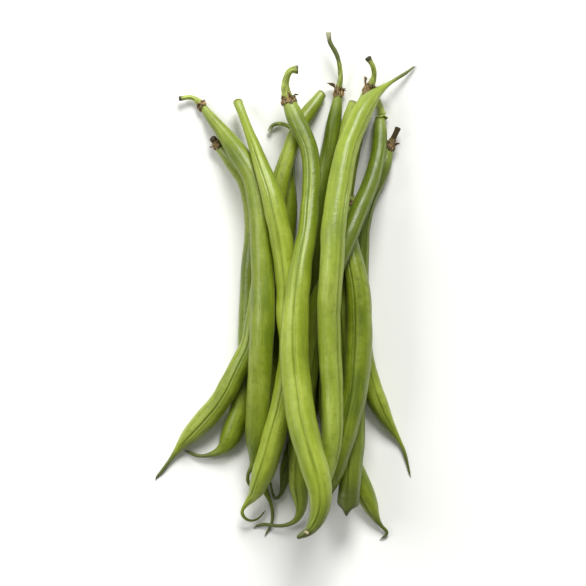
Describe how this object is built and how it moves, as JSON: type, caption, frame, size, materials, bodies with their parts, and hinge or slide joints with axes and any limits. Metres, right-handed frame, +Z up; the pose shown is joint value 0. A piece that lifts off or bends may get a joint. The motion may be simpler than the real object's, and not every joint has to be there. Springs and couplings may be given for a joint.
{
  "type": "green bean bundle",
  "caption": "Loose bundle of fresh green beans (snap beans) lying lengthwise across each other, with curled tails, short stems and dry calyxes.",
  "frame": {"origin": "on the resting surface, under the middle of the bundle's bounding box", "axes": "+Y along the pods towards the stem ends, +Z up from the resting surface, +X to the right when seen from above with the stems away"},
  "size_m": [0.0924, 0.1794, 0.0372],
  "materials": {
    "pod_skin_pale": "pale grey-green bean skin, satin, fine raised specks",
    "pod_skin_bright": "bright yellow-green bean skin, satin, fine raised specks",
    "pod_skin_middle": "middle green bean skin, satin, fine raised specks",
    "pod_skin_deep": "deep green bean skin, satin, fine raised specks",
    "stem_green": "yellow-green stalk, matte, ribbed, with a dark cut end",
    "calyx_dry": "brown withered calyx, matte and fibrous"
  },
  "bodies": {
    "root": {"pod_left_outer": "pod_skin_deep", "stem_left_outer": "stem_green", "pod_curly_stem": "pod_skin_deep", "stem_curly_stem": "stem_green", "pod_long_stem": "pod_skin_deep", "stem_long_stem": "stem_green", "pod_right_tail": "pod_skin_middle", "stem_right_tail": "stem_green", "pod_right_outer": "pod_skin_deep", "stem_right_outer": "stem_green", "pod_broken_tip": "pod_skin_middle", "pod_left_sweep": "pod_skin_middle", "pod_right_middle": "pod_skin_deep", "stem_right_middle": "stem_green", "pod_long_tail": "pod_skin_middle", "stem_long_tail": "stem_green", "pod_left_upper": "pod_skin_middle", "stem_left_upper": "stem_green", "pod_curled_tail": "pod_skin_bright", "pod_right_upper": "pod_skin_pale", "stem_right_upper": "stem_green", "pod_topmost": "pod_skin_bright", "stem_topmost": "stem_green"}
  },
  "joints": []
}
